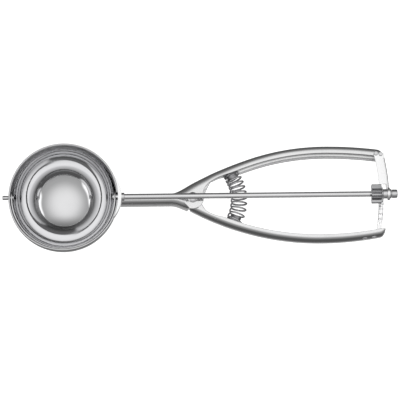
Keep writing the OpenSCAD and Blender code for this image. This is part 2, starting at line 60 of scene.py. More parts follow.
# the rod and its pin: spigots through the blade's lugs with round heads, and where each turned part lies along X
ROD_R, PIN_R, RUN_GAP = 1.55, 1.0, 0.05
SHOULDER_X, SPIGOT_END, SPIGOT_HEAD, SPIGOT_HEAD_R = 28.8, 26.7, (27.1, 27.7), 1.8
TIP_HEAD, TIP_HEAD_R = (-33.3, -30.3), 1.2
FRONT_BUSH, FRONT_BUSH_R = (30.05, 33.25), 2.2
PINION, THRUST_WASHER = (168.1, 173.7), (173.8, 174.2)
REAR_BUSH, REAR_BUSH_R = (174.3, 179.0), 2.6
KNOB, KNOB_R = (179.15, 182.35), 2.35
# the levers: the moving one lies 1.4 mm lower, with its ears under those of the fixed one
PIVOT = np.array([70.5, 0.0])
SHEET, EDGE_R = 1.2, 0.22
TOP, BOTTOM = -3.2, -17.0
MOVING_TOP, MOVING_BOTTOM = -4.6, -18.4
EAR_FIXED, EAR_MOVING, EAR_LOW = 6.3, 4.8, 4.0
FIXED_FLANGE, MOVING_FLANGE = 4.0, 3.0
SHANK_Y, SHANK_FOOT, SHANK_WALL = 2.5, -15.0, 11.8
NECK_X, FLARE_X, WALL_END_X = 56.0, 58.0, 63.0
INNER_BEND = 2.3  # the largest inner radius of a top bend
RIVET_R, RIVET_DOME_R, RIVET_RISE = 2.0, 3.1, 1.2
RIVET_TAIL, RIVET_TAIL_R, PIVOT_WASHER_R = (-19.2, -20.1), 2.9, 4.0
# pinion and rack, with angles about the pivot in degrees
MODULE, PRESSURE, BACKLASH = 0.883, math.radians(25), 0.3
PITCH_R, ROOT_R, TIP_R, TEETH = 4.415, 3.488, 5.298, 10
RACK_OUT, RACK_IN, RACK_MID = 104.6, 102.2, 102.7
RACK_SHOULDER, RACK_FOOT = -7.0, -11.319
RACK_FROM, RACK_TEETH_FROM, RACK_TO = -11.0, -8.5, 2.75
TAB_END, TAB_L = 0.94, 12  # the end's share of the lever's tail, and the length
BRIDGE_OUT, BRIDGE_T, BRIDGE_W, BRIDGE_H, EYE_R = 107.65, 1.3, 5.4, 7, 3.5
SPRING_R, CURL_R, WIRE_D, CURLS, SEAT_UP, SEAT_LOW = 25.5, 4.2, 1.0, 9, 32.5, 27.0
SPRING_Z, SEAT_CUP_R = -10.8, 4.3


# ---------------------------------------------------------------- points and outlines


def aim(deg):
    """The unit vector in plan at an angle from X."""
    return np.stack([np.cos(np.radians(deg)), np.sin(np.radians(deg))], -1)


def arc_to(start, heading, end):
    """The circular arc that leaves start at a heading and reaches end, as (start, heading, turn, radius):
    the chord's direction differs from the heading by half the turn."""
    chord = np.array(end, float) - start
    half = math.degrees(math.atan2(chord[1], chord[0])) - heading
    return np.array(start, float), heading, 2 * half, np.hypot(*chord) / (2 * math.sin(math.radians(abs(half))))


def two_arcs(start, heading, end, end_heading):
    """Two tangent arcs of equal reach d from start to end: their meeting point is the middle of
    start + d * first heading and end - d * last heading, with d from the quadratic that makes these 2 d apart."""
    start, end = np.array(start, float), np.array(end, float)
    v, a, b = end - start, aim(heading), aim(end_heading)
    t, k = a + b, 2 * (1 - a @ b)
    d = (math.sqrt((v @ t) ** 2 + k * (v @ v)) - v @ t) / k
    meeting = (start + end + d * (a - b)) / 2
    first = arc_to(start, heading, meeting)
    return [first, arc_to(meeting, heading + first[2], end)]


def along(arc, share, inward=0.0):
    """Points on an arc at shares of its turn, moved inwards to the right of the heading, and their headings."""
    start, heading, turn, radius = arc
    side = 1 if turn > 0 else -1
    now = heading + np.asarray(share, float) * turn
    centre = start + side * radius * aim(heading + 90)
    normal = aim(now + 90)
    return centre - side * radius * normal - np.asarray(inward)[..., None] * normal, now


def trace(path, step):
    """Stations about a step apart along a chain of arcs: points and headings."""
    points, headings = [], []
    for n, arc in enumerate(path):
        count = max(2, int(abs(math.radians(arc[2])) * arc[3] / step))
        shares = np.linspace(0, 1, count + 1)[: None if n == len(path) - 1 else -1]
        p, h = along(arc, shares)
        points.append(p)
        headings.append(h)
    return np.vstack(points), np.concatenate(headings)


def rounded(corners, radii, steps=5, closed=True):
    """Outlines with rounded corners. corners is [..., n, 2], radii is [..., n]. Each corner becomes an arc that is
    tangent to both of its sides: its radius vectors turn evenly from one side's foot to the other's. Two corners
    share the side between them as their radii ask for it."""
    corners = np.asarray(corners, float)
    radii = np.broadcast_to(np.asarray(radii, float), corners.shape[:-1]).copy()
    if not closed:
        radii[..., [0, -1]] = 0
    before, after = np.roll(corners, 1, -2) - corners, np.roll(corners, -1, -2) - corners
    lb, la = np.linalg.norm(before, axis=-1), np.linalg.norm(after, axis=-1)
    u, v = before / np.maximum(lb, 1e-9)[..., None], after / np.maximum(la, 1e-9)[..., None]
    half = np.arccos(np.clip((u * v).sum(-1), -1, 1)) / 2
    reach = radii / np.maximum(np.tan(half), 1e-6)
    reach = np.where((half < 1e-3) | (half > math.pi / 2 - 1e-3), 0, reach)
    limits = [side * reach / np.maximum(reach + np.roll(reach, way, -1), 1e-9) for side, way in ((lb, 1), (la, -1))]
    reach = np.minimum(reach, 0.97 * np.minimum(*limits))
    radius = reach * np.tan(half)
    bisector = u + v
    bisector /= np.maximum(np.linalg.norm(bisector, axis=-1), 1e-9)[..., None]
    centre = corners + bisector * (radius / np.maximum(np.sin(half), 1e-6))[..., None]
    first, last = corners + reach[..., None] * u - centre, corners + reach[..., None] * v - centre
    turn = math.pi - 2 * half
    k = np.linspace(0, 1, steps)
    sine = np.maximum(np.sin(turn), 1e-6)[..., None]
    wa = np.where(reach[..., None] > 0, np.sin((1 - k) * turn[..., None]) / sine, 1 - k)
    wb = np.where(reach[..., None] > 0, np.sin(k * turn[..., None]) / sine, k)
    points = centre[..., None, :] + wa[..., None] * first[..., None, :] + wb[..., None] * last[..., None, :]
    return points.reshape(*corners.shape[:-2], -1, 2)


def spread(points, step):
    """A polyline with further points, so that none are more than a step apart."""
    points = np.asarray(points, float)
    out = [points[:1]]
    for a, b in zip(points[:-1], points[1:]):
        n = max(1, int(np.hypot(*(b - a)) / step))
        out.append(a + (b - a) * (np.arange(1, n + 1) / n)[:, None])
    return np.vstack(out)


def about(profile, base, axis, turns):
    """Points of a profile of (height, radius) turned about a level axis through base: base + height * axis +
    radius * (cos a * u + sin a * v), where u is level and v is upright, both square to the axis."""
    line = rounded(profile, 0.12, 3, closed=False)
    axis = axis / np.linalg.norm(axis)
    u = np.cross(axis, (0, 0, 1.0))
    u /= np.linalg.norm(u)
    v = np.cross(axis, u)
    a = np.linspace(0, 2 * math.pi, turns, endpoint=False)[None, :, None]
    h, r = line[:, None, :1], line[:, None, 1:]
    return base + h * axis + r * (np.cos(a) * u + np.sin(a) * v)


# ---------------------------------------------------------------- meshes


class Form:
    """Gathers point grids in millimetres and makes one piece of them."""

    def __init__(self):
        self.points, self.faces, self.count = [], [], 0

    def grid(self, points, wrap_rows=False, wrap_cols=False, caps=False):
        """A grid [rows, columns, 3] of quads. Wrapping joins the last row or column to the first, and caps
        close the first and last rows with one flat face each."""
        rows, cols = points.shape[:2]
        index = np.arange(rows * cols).reshape(rows, cols) + self.count
        ends = [index[0].tolist(), index[-1][::-1].tolist()] if caps else []
        if wrap_rows:
            index = np.vstack([index, index[:1]])
        if wrap_cols:
            index = np.hstack([index, index[:, :1]])
        quads = np.stack([index[:-1, :-1], index[1:, :-1], index[1:, 1:], index[:-1, 1:]], -1)
        self.points.append(points.reshape(-1, 3))
        self.faces += quads.reshape(-1, 4).tolist() + ends
        self.count += rows * cols
        return self

    def turned(self, profile, radii=0.2, base=(0, 0, 0), axis="x", closed=False, turns=64, steps=4):
        """A solid of revolution about X or Z. Each point (height, radius) of the rounded profile goes round the axis:
        base + height * axis + radius * (cos a, sin a) in the plane across it."""
        line = rounded(profile, radii, steps, closed)
        a = np.linspace(0, 2 * math.pi, turns, endpoint=False)
        h, r = line[:, None, 0] + 0 * a, line[:, None, 1]
        across, up = r * np.cos(a), r * np.sin(a)
        points = (h, across, up) if axis == "x" else (across, up, h)
        return self.grid(np.stack(points, -1) + np.array(base, float), closed, True)

    def piece(self, name, body, finish, slot, nodes, sharp=32, ride=True):
        """The finished piece: doubled points merged, faces outwards, smooth but for edges sharper than a limit."""
        mesh = bpy.data.meshes.new(name)
        mesh.from_pydata(((np.vstack(self.points) + SHIFT) / 1000).tolist(), [], self.faces)
        b = bmesh.new()
        b.from_mesh(mesh)
        bmesh.ops.remove_doubles(b, verts=b.verts, dist=2e-7)
        bmesh.ops.dissolve_degenerate(b, edges=b.edges, dist=1e-7)
        bmesh.ops.recalc_face_normals(b, faces=b.faces)
        b.to_mesh(mesh)
        b.free()
        mesh.polygons.foreach_set("use_smooth", [True] * len(mesh.polygons))
        mesh.set_sharp_from_angle(angle=math.radians(sharp))
        mesh.materials.append(finish)
        obj = bpy.data.objects.new(name, mesh)
        bpy.context.scene.collection.objects.link(obj)
        if ride:
            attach(obj, body)
        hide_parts(*nodes)
        return obj


# ---------------------------------------------------------------- materials


class Value:
    """A node's output that can be used in Python sums. Each operator adds one Math node."""

    def __init__(self, nodes, socket):
        self.nodes, self.socket = nodes, socket

    def _math(self, operation, *values):
        return self.nodes.add("ShaderNodeMath", {"operation": operation}, dict(enumerate(values)))

    def __add__(self, other):
        return self._math("ADD", self, other)

    def __sub__(self, other):
        return self._math("SUBTRACT", self, other)

    def __rsub__(self, other):
        return self._math("SUBTRACT", other, self)

    def __mul__(self, other):
        return self._math("MULTIPLY", self, other)

    def __abs__(self):
        return self._math("ABSOLUTE", self)

    def over(self, low, high):
        """0 below low, 1 above high, and a smooth step between."""
        inputs = {"Value": self, "From Min": low, "From Max": high}
        return self.nodes.add("ShaderNodeMapRange", {"interpolation_type": "SMOOTHSTEP"}, inputs)

    __radd__, __rmul__ = __add__, __mul__


class Nodes:
    """The node tree of one material or of the world."""

    def __init__(self, owner):
        owner.use_nodes = True
        self.tree = owner.node_tree
        self.tree.nodes.clear()

    def add(self, kind, settings=None, inputs=None, output=0):
        """Adds a node: its settings first, then the values or links of its sockets. Gives its output as a Value."""
        node = self.tree.nodes.new(kind)
        for key, value in (settings or {}).items():
            setattr(node, key, value)
        for key, value in (inputs or {}).items():
            if isinstance(value, Value):
                self.tree.links.new(value.socket, node.inputs[key])
            else:
                node.inputs[key].default_value = value
        return Value(self, node.outputs[output]) if node.outputs else None

    def place(self, scale):
        """Object coordinates in metres, scaled along each axis."""
        where = self.add("ShaderNodeTexCoord", output="Object")
        return self.add("ShaderNodeMapping", {}, {"Vector": where, "Scale": scale})

    def length(self, vector):
        """The length of a vector."""
        return self.add("ShaderNodeVectorMath", {"operation": "LENGTH"}, {0: vector}, "Value")

    def dot(self, vector, axis):
        """The scalar product with a fixed axis."""
        return self.add("ShaderNodeVectorMath", {"operation": "DOT_PRODUCT"}, {0: vector, 1: axis}, "Value")

    def cone(self, vector, axis, inner, outer):
        """1 within the inner angle of an axis, 0 past the outer one, in degrees."""
        axis = np.array(axis) / np.linalg.norm(axis)
        return self.dot(vector, axis.tolist()).over(math.cos(math.radians(outer)), math.cos(math.radians(inner)))

    def facing(self, vector, azimuth):
        """1 for directions that lean mostly to one azimuth, 0 for the rest."""
        return self.dot(vector, [*aim(azimuth).tolist(), 0]).over(0.70, 0.78)

    def noise(self, scale, detail, stretch=(1, 1, 1), rough=0.5):
        """Smooth noise with a feature about 1/scale metres long, stretched along an axis by a small factor there."""
        inputs = {"Vector": self.place(stretch), "Scale": scale, "Detail": detail, "Roughness": rough}
        return self.add("ShaderNodeTexNoise", {}, inputs)


def mix(n, share, first, second):
    """A colour between two others."""
    return n.add("ShaderNodeMix", {"data_type": "RGBA"}, {0: share, 6: first, 7: second}, output=2)


def steel(name, light, dark, rough, rough_more, lines, line_scale, depth, wear=0.4, zones=None):
    """Stainless steel. Its grey drifts from light to dark over a few centimetres, its roughness grows where hands and
    cloths have rubbed it, fine polishing lines run along the axis where lines is small, and sparse hairline scratches
    cross them. zones gives the roughness that some places add, and how far they go towards a darker grey of painted
    shade."""
    m = bpy.data.materials.new(name)
    n = Nodes(m)
    patches = n.noise(55, 4)
    haze = n.noise(260, 5, rough=0.6).over(0.42, 0.72)
    grain = n.noise(line_scale, 2, lines)
    fine = n.noise(line_scale * 2.6, 2, lines)
    hair_a = n.noise(900, 1, (0.05, 1, 0.6)).over(0.685, 0.70)
    hair_b = n.noise(700, 1, (1, 0.06, 0.5)).over(0.695, 0.71)
    hairs = hair_a + hair_b
    colour = mix(n, patches.over(0.35, 0.65) * 0.6 + grain * 0.4, (*light, 1), (*dark, 1))
    roughness = haze * (rough_more * 0.6) + grain * (rough_more * 0.4) + hairs * (wear * 0.12) + rough
    if zones:
        more, shade = zones(n)
        roughness = roughness + more
        # painted shade: the zones' mask pulls the grey towards a dark grey
        colour = mix(n, shade, colour, (0.36, 0.36, 0.37, 1))
    height = grain + fine * 0.5 - hairs * wear
    bump = n.add("ShaderNodeBump", {}, {"Height": height, "Strength": depth, "Distance": 0.00004}, output="Normal")
    shader = n.add(
        "ShaderNodeBsdfPrincipled",
        {},
        {"Base Color": colour, "Metallic": 1.0, "Roughness": roughness, "Normal": bump},
    )
    n.add("ShaderNodeOutputMaterial", {}, {"Surface": shader})
    return m


def bowl_dulling_and_painted_shade(n):
    """The bowl is mirror bright. The last few millimetres under the lip are duller, and from half height up to the
    lip its wall's grey is darkened by painted shade. The height is the length of (0, 0, z)."""
    height = n.length(n.place((0, 0, 1)))
    dull = height.over(0.0225, 0.0265) * 0.30
    # painted shade: the wall's grey is darker from half height up to the lip
    dark = height.over(0.0125, 0.0160) * (1 - height.over(0.0305, 0.0312)) * 0.5
    return dull, dark


MIRROR = steel(
    "mirror_bowl", (0.74, 0.74, 0.745), (0.70, 0.70, 0.71), 0.02, 0.03, (1, 1, 0.08), 2400, 0.05, 0.35, bowl_dulling_and_painted_shade
)
BLADE = steel("polished_blade", (0.76, 0.76, 0.77), (0.70, 0.70, 0.71), 0.07, 0.06, (0.06, 1, 1), 2600, 0.08, 0.3)
# the bright sheet of the bridge, the rack and the saddle
BRIDGE = steel("bridge_sheet", (0.93, 0.93, 0.932), (0.90, 0.90, 0.905), 0.14, 0.07, (1, 0.05, 1), 2200, 0.10)
PRESSED = steel("pressed_sheet", (0.80, 0.80, 0.802), (0.74, 0.74, 0.745), 0.16, 0.07, (0.05, 1, 1), 2200, 0.10)
ROD = steel("drawn_rod", (0.78, 0.78, 0.785), (0.72, 0.72, 0.73), 0.10, 0.06, (0.03, 1, 1), 3200, 0.10)
TURNED = steel("turned_steel", (0.72, 0.72, 0.725), (0.60, 0.60, 0.61), 0.16, 0.08, (1, 0.08, 0.08), 3600, 0.16)
CUT = steel("cut_teeth", (0.52, 0.52, 0.53), (0.36, 0.36, 0.37), 0.16, 0.10, (0.1, 1, 1), 3000, 0.18, 0.5)
SEAT = steel("stained_seat", (0.36, 0.36, 0.37), (0.26, 0.26, 0.27), 0.25, 0.10, (1, 0.1, 1), 2600, 0.15)
WIRE = steel("spring_wire", (0.60, 0.60, 0.61), (0.48, 0.48, 0.50), 0.15, 0.10, (1, 0.3, 1), 2600, 0.12)


# ---------------------------------------------------------------- bowl


def bowl():
    """A turned shell with a rounded lip. Its wall's two skins are half balls under straight collars. Beside the rod
    the lip drops into a round-bottomed notch: its height there is -sqrt(notch^2 - y^2)."""
    cut = math.asin(NOTCH / BOWL_IN)
    side = np.linspace(-cut, cut, 25)
    rest = np.linspace(cut, 2 * math.pi - cut, 301)
    a = np.concatenate([side, rest])
    lip = np.full(len(a), RIM_Z)
    lip[: len(side)] = -np.sqrt(np.maximum(NOTCH**2 - (BOWL_IN * np.sin(side)) ** 2, 0))
    t = np.linspace(0, 1, 72) ** 0.85
    skins = []
    for r in (BOWL_IN, BOWL_R):
        lean = np.where(lip < 0, np.arccos(np.clip(-lip / r, 0, 1)), math.pi / 2)
        tilt = lean[:, None] * t
        skins.append(np.stack([r * np.sin(tilt), -r * np.cos(tilt)], -1))
    wall_in, wall_out = skins[0], skins[1][:, ::-1]
    foot_in, foot_out = wall_in[:, -1], wall_out[:, 0]
    high = np.maximum(lip, foot_in[:, 1])
    mid, half = (BOWL_R + BOWL_IN) / 2, (BOWL_R - BOWL_IN) / 2
    rise = half * 0.9
    turn = np.linspace(math.pi, 0, 9)
    level = high[:, None]
    round_lip = np.stack([mid + half * np.cos(turn) + 0 * level, level - rise + rise * np.sin(turn)], -1)
    in_notch = (lip < 0)[:, None, None]
    flat = foot_in[:, None] + (foot_out - foot_in)[:, None] * np.linspace(0, 1, 9)[None, :, None]
    line = np.concatenate([wall_in, np.where(in_notch, flat, round_lip), wall_out], 1)
    points = np.stack([line[..., 0] * np.cos(a)[:, None], line[..., 0] * np.sin(a)[:, None], line[..., 1]], -1)
    Form().grid(points, True).piece("bowl_shell", "frame", MIRROR, "polished_steel", ["bowl"], sharp=40)


bowl()


# ---------------------------------------------------------------- saddle behind the bowl


def saddle():
    """A lens between a dome turned about the rod and the bowl's ball, cut flat on top. Round the rod its edge is
    where dome and ball meet, or the flat cut's distance over the cosine, whichever is nearer."""
    # where x = centre + sqrt(dome^2 - q^2) meets x = sqrt(ball^2 - q^2)
    x_meet = (BOWL_R**2 - SADDLE_DOME_R**2 + SADDLE_DOME_X**2) / (2 * SADDLE_DOME_X)
    edge = math.sqrt(BOWL_R**2 - x_meet**2)
    a = np.linspace(0, 2 * math.pi, 160, endpoint=False)
    limit = np.where(np.cos(a) > 0.05, np.minimum(edge, SADDLE_TOP / np.maximum(np.cos(a), 0.05)), edge)
    q = FRONT_BUSH_R + (limit[:, None] - FRONT_BUSH_R) * np.linspace(0, 1, 28)
    dome = SADDLE_DOME_X + np.sqrt(SADDLE_DOME_R**2 - q**2)
    ball = np.sqrt(BOWL_R**2 - q**2) - 0.01
    x, r = np.concatenate([dome, ball[:, ::-1]], 1), np.concatenate([q, q[:, ::-1]], 1)
    points = np.stack([x, r * np.sin(a)[:, None], r * np.cos(a)[:, None]], -1)
    form = Form().grid(points, True, True)
    form.piece("saddle_lens", "frame", BRIDGE, "satin_steel", ["bowl_saddle"], sharp=40)


def sleeve(reach, r_out, r_in, name, body, node, bevel):
    """A turned sleeve along X: a closed rectangle with rounded outer edges, taken round the axis."""
    ring = [(reach[0], r_in), (reach[0], r_out), (reach[1], r_out), (reach[1], r_in)]
    Form().turned(ring, [0.05, bevel, bevel, 0.05], closed=True).piece(name, body, TURNED, "turned_steel", [node])


saddle()
sleeve(FRONT_BUSH, FRONT_BUSH_R, ROD_R + RUN_GAP, "front_bearing", "frame", "front_bush", 0.25)


# ---------------------------------------------------------------- levers

# the outer faces of the webs as chains of arcs; the moving lever's are mirrored in the end
NECK_END, NECK_HEADING, GRIP_CREST, FIXED_END = (64.0, 4.77), 29.7, (143, 28.2), (176.2, 25.66)
MOVING_CREST, MOVING_END = (141, 24.1), (176.2, 20.70)
NECK = two_arcs((NECK_X, SHANK_Y), 0, NECK_END, NECK_HEADING)
GRIP = two_arcs(NECK_END, NECK_HEADING, GRIP_CREST, 0)
FIXED_TAIL = arc_to(GRIP_CREST, 0, FIXED_END)
FLARE = two_arcs((FLARE_X, -SHANK_Y), 0, (67.2, -5.32), -24)
MOVING = two_arcs((69.0, 5.3), 29, MOVING_CREST, 0)
MOVING_TAIL = arc_to(MOVING_CREST, 0, MOVING_END)
# directions about the pivot in degrees: where a plate's ear ends, and where a lower ear starts and ends
EAR_END, LOW_EAR = -12, (205, 338)


def neck_edge(ear, arc, flange, share, bow, from_deg):
    """The inner edge of a neck's plate: round the ear, then a parabola from the ear to the grip's flange, which it
    reaches at a share of the arc. bow is the parabola's knee, seen from the pivot."""
    rim = PIVOT + ear * aim(EAR_END)
    foot, _ = along(arc, share, flange)
    t = np.linspace(0, 1, 40)[:, None]
    curve = (1 - t) ** 2 * rim + 2 * t * (1 - t) * (PIVOT + bow) + t * t * foot
    return np.vstack([PIVOT + ear * aim(np.linspace(from_deg, EAR_END, 60)), curve])


def inward_reach(points, headings, edge):
    """How far inwards from each station the edge lies: every edge point is dropped square onto the stations' line,
    and its distance is read there."""
    tangent, normal = aim(headings), -aim(headings + 90)
    gap = ((edge[:, None] - points) * tangent).sum(-1)
    beside = (gap[:, 0] > 0) & (gap[:, -1] <= 0)
    edge, gap = edge[beside], gap[beside]
    before = np.argmax(gap <= 0, 1)
    rows = np.arange(len(edge))
    a, b = gap[rows, before - 1], gap[rows, before]
    at = before - 1 + np.clip(a / np.where(a - b == 0, 1, a - b), 0, 1)
    far = ((edge - points[before]) * normal[before]).sum(-1)
    order = np.argsort(at, kind="stable")
    return np.interp(np.arange(len(points)), at[order], far[order])


def channel(points, headings, top, foot, plate, lower, low_wall, bend, bulge, end_r):
    """A pressed channel along stations. Across each station, in (inward distance, height), its outline goes down the
    outer web, along the lower flange, back inside the web and along the plate, and round the plate's edge or, where
    there is a second wall, down and up it. The web bulges outwards as a parabola of its height, the outer bends
    have the radius bend, and over the last end_r the web curves in as a quarter circle. The inner bend of the plate
    is limited, so that the moving lever's ear clears it."""
    step = np.hypot(*np.diff(points, axis=0).T)
    left = np.append(np.cumsum(step[::-1])[::-1], 0)
    turned_in = end_r - np.sqrt(end_r**2 - np.clip(end_r - left, 0, end_r - 0.05) ** 2)
    turned_in = np.minimum(turned_in, plate - SHEET - 0.3)
    high = top - foot
    bent = lower > SHEET + 0.05
    walled = low_wall > SHEET + 0.05
    o, bulge = turned_in, bulge * np.clip((high - 2 * SHEET) / (TOP - BOTTOM), 0, 1)
    low_end = np.maximum(np.where(bent, lower, SHEET), o + SHEET)
    inside = np.where(walled, plate - SHEET, plate)
    low = top - np.where(walled, low_wall, SHEET)
    wall_r = np.where(walled, EDGE_R, 0)
    # the shares of the web's height that have points of their own
    heights = (0.38, 0.46, 0.54, 0.62)
    outline = [(o + bulge, top, bend)]
    outline += [(o + bulge * (2 * k - 1) ** 2, top - high * k, 0) for k in heights]
    outline += [
        (o + bulge, foot, np.where(bent, bend, EDGE_R)),
        (low_end + bulge * (1 - bent), foot, EDGE_R),
        (low_end + bulge * (1 - bent), foot + np.where(bent, SHEET, 0), np.where(bent, EDGE_R, 0)),
        (o + bulge + SHEET, foot + np.where(bent, SHEET, 0), np.where(bent, bend - SHEET, EDGE_R)),
    ]
    outline += [(o + SHEET + bulge * (2 * k - 1) ** 2, top - high * k, 0) for k in heights[::-1]]
    outline += [
        (o + bulge + SHEET, top - SHEET, np.minimum(bend - SHEET, INNER_BEND)),
        (inside, top - SHEET, np.where(walled, bend - SHEET, EDGE_R)),
        (inside, low, wall_r),
        (plate, low, wall_r),
        (plate, top, np.where(walled, bend, EDGE_R)),
    ]
    zero = np.zeros(len(points))
    corners = np.stack([np.stack([q + zero, z + zero], -1) for q, z, _ in outline], 1)
    radii = np.stack([r + zero for _, _, r in outline], 1)
    loops = rounded(corners, radii, 7)
    normal = -aim(headings + 90)
    plan = points[:, None] + loops[..., :1] * normal[:, None]
    return np.concatenate([plan, loops[..., 1:]], -1)


def lower_edge(arc, flange, share, left):
    """The inner edge of a lower flange: from the web round the lower ear and out to the flange."""
    ear = PIVOT + EAR_LOW * aim(np.linspace(*LOW_EAR, 40))
    return np.vstack([[left], ear, along(arc, np.linspace(share, 1, 50), flange)[0]])


def fixed_lever():
    """Shank, neck and grip are one channel. The shank has a second wall, which flares out to the ear and ends there.
    At the neck the plate widens into the ear and the lower flange begins."""
    flange = FIXED_FLANGE
    straight = np.arange(28.6, NECK_X, 0.8)
    shank = np.stack([straight, np.full(len(straight), SHANK_Y)], -1)
    p, h = trace([*NECK, *GRIP, FIXED_TAIL], 0.7)
    # the grip's crowned web stands half a millimetre further out
    grip = np.clip((p[:, 0] - 60) / 10, 0, 1)
    p += (0.5 * grip)[:, None] * aim(h + 90)
    p, h, grip = np.vstack([shank, p]), np.concatenate([0 * straight, h]), np.concatenate([0 * straight, grip])
    # doubled stations where the second wall stops, so that it ends square
    stop = np.searchsorted(p[:, 0], WALL_END_X)
    p, h = np.insert(p, stop, p[stop] - aim(h[stop]) * 0.02, 0), np.insert(h, stop, h[stop])
    grip = np.insert(grip, stop, grip[stop])
    x = p[:, 0]
    tail = [along(a, np.linspace(0, 1, 60), flange)[0] for a in (GRIP[1], FIXED_TAIL)]
    first = along(GRIP[0], np.linspace(0.7, 1, 40), flange)[0]
    ear = neck_edge(EAR_FIXED, GRIP[0], flange, 0.7, (2.7, 8.5), -121)
    flare, _ = trace(FLARE, 0.4)
    wall_line = spread([(28, -SHANK_Y), (NECK_X, -SHANK_Y), flare[0]], 0.5)
    edge = np.vstack([wall_line, flare, ear, first, *tail])
    plate = inward_reach(p, h, edge)
    # the lower flange is narrow between its ear and the spring, and as wide as the plate past it
    narrow = np.interp(np.linspace(0.42, 1, 50), [0.55, 0.85], [1.7, flange])
    low = np.vstack([lower_edge(GRIP[0], narrow, 0.42, (65.0, 2.6)), *tail])
    lower = np.where(x > 65.2, inward_reach(p, h, low), SHEET)
    foot = np.interp(x, [FLARE_X, 62.7], [SHANK_FOOT, BOTTOM])
    wall = np.where((x < p[stop, 0] - 0.01), SHANK_WALL, SHEET)
    # the top bend is tight along the shank, widest just past the neck, and smaller again along the grip
    bend = np.interp(x, [57, 62, 66, 90, 120], [2.45, 3.7, 4.8, 3.6, 3.0])
    points = channel(p, h, np.full(len(p), TOP), foot, plate, lower, wall, bend, 0.5 * grip, 4.2)
    # the channel's first end is sunk 0.6 mm into the saddle's dome and stays outside the bowl's ball
    off = points[..., 1] ** 2 + points[..., 2] ** 2
    seat = SADDLE_DOME_X + np.sqrt(np.maximum(SADDLE_DOME_R**2 - off, 60)) - 0.6
    ball = np.sqrt(np.maximum(BOWL_R**2 - off, 0))
    first_end = np.maximum(points[..., 0], np.maximum(seat, ball))
    points[..., 0] = np.where(points[..., 0] < 34, first_end, points[..., 0])
    form = Form().grid(points, False, True, caps=True)
    form.piece("fixed_lever_pressing", "frame", PRESSED, "satin_steel", ["fixed_lever"])


def moving_lever():
    """The moving lever is one channel from its ears to its tail, mirrored to the other side, with a round ear at
    each end of the pivot. Its crowned web stands 0.4 mm further out."""
    flange = MOVING_FLANGE
    p, h = trace([*MOVING, MOVING_TAIL], 0.7)
    p += 0.4 * aim(h + 90)
    tail = [along(a, np.linspace(0, 1, 60), flange)[0] for a in (MOVING[1], MOVING_TAIL)]
    first = along(MOVING[0], np.linspace(0.5, 1, 40), flange)[0]
    edge = np.vstack([neck_edge(EAR_MOVING, MOVING[0], flange, 0.5, (3.2, 8.0), -60), first, *tail])
    plate = inward_reach(p, h, edge)
    low = np.vstack([lower_edge(MOVING[0], flange, 0.3, (68.0, 2.0)), *tail])
    lower = np.maximum(inward_reach(p, h, low), SHEET + 1)
    n = len(p)
    top, foot = np.full(n, MOVING_TOP), np.full(n, MOVING_BOTTOM)
    points = channel(p, h, top, foot, plate, lower, np.full(n, SHEET), 2.0, 0.9, 3.0)
    points[..., 1] *= -1
    form = Form().grid(points, False, True, caps=True)
    for z, r in ((MOVING_TOP - 0.01, EAR_MOVING), (MOVING_BOTTOM + SHEET - 0.01, EAR_LOW)):
        form.turned([(z - SHEET + 0.02, 0), (z - SHEET + 0.02, r), (z, r), (z, 0)], EDGE_R, (*PIVOT, 0), "z")
    form.piece("moving_lever_pressing", "squeeze_lever", PRESSED, "satin_steel", ["moving_lever"])


fixed_lever()
moving_lever()


# ---------------------------------------------------------------- pivot


def pivot():
    """The rivet is one turned profile: a shallow dome, the shank and the flat tail that holds the washer. The dome is
    part of a ball whose radius is (r^2 + rise^2) / (2 rise)."""
    ball = (RIVET_DOME_R * RIVET_DOME_R + RIVET_RISE * RIVET_RISE) / (2 * RIVET_RISE)
    lean = np.linspace(0, math.asin(RIVET_DOME_R / ball), 12)
    dome = [(TOP + RIVET_RISE - ball + ball * math.cos(s), ball * math.sin(s)) for s in lean]
    start, end = RIVET_TAIL
    tail = [(TOP, RIVET_R), (start, RIVET_R), (start, RIVET_TAIL_R), (end, RIVET_TAIL_R), (end, 0)]
    radii = [0] * 11 + [0.25, 0, 0, 0.1, 0.25, 0]
    form = Form().turned(dome + tail, radii, (*PIVOT, 0), "z")
    form.piece("pivot_rivet_turned", "frame", TURNED, "turned_steel", ["pivot_rivet"])
    bore = RIVET_R + RUN_GAP
    ring = [(start, bore), (start, PIVOT_WASHER_R), (MOVING_BOTTOM, PIVOT_WASHER_R), (MOVING_BOTTOM, bore)]
    form = Form().turned(ring, [0.05, 0.2, 0.2, 0.05], (*PIVOT, 0), "z", closed=True)
    form.piece("pivot_washer_ring", "frame", TURNED, "turned_steel", ["pivot_washer"])


pivot()


# ---------------------------------------------------------------- scraper, rod and what turns with them


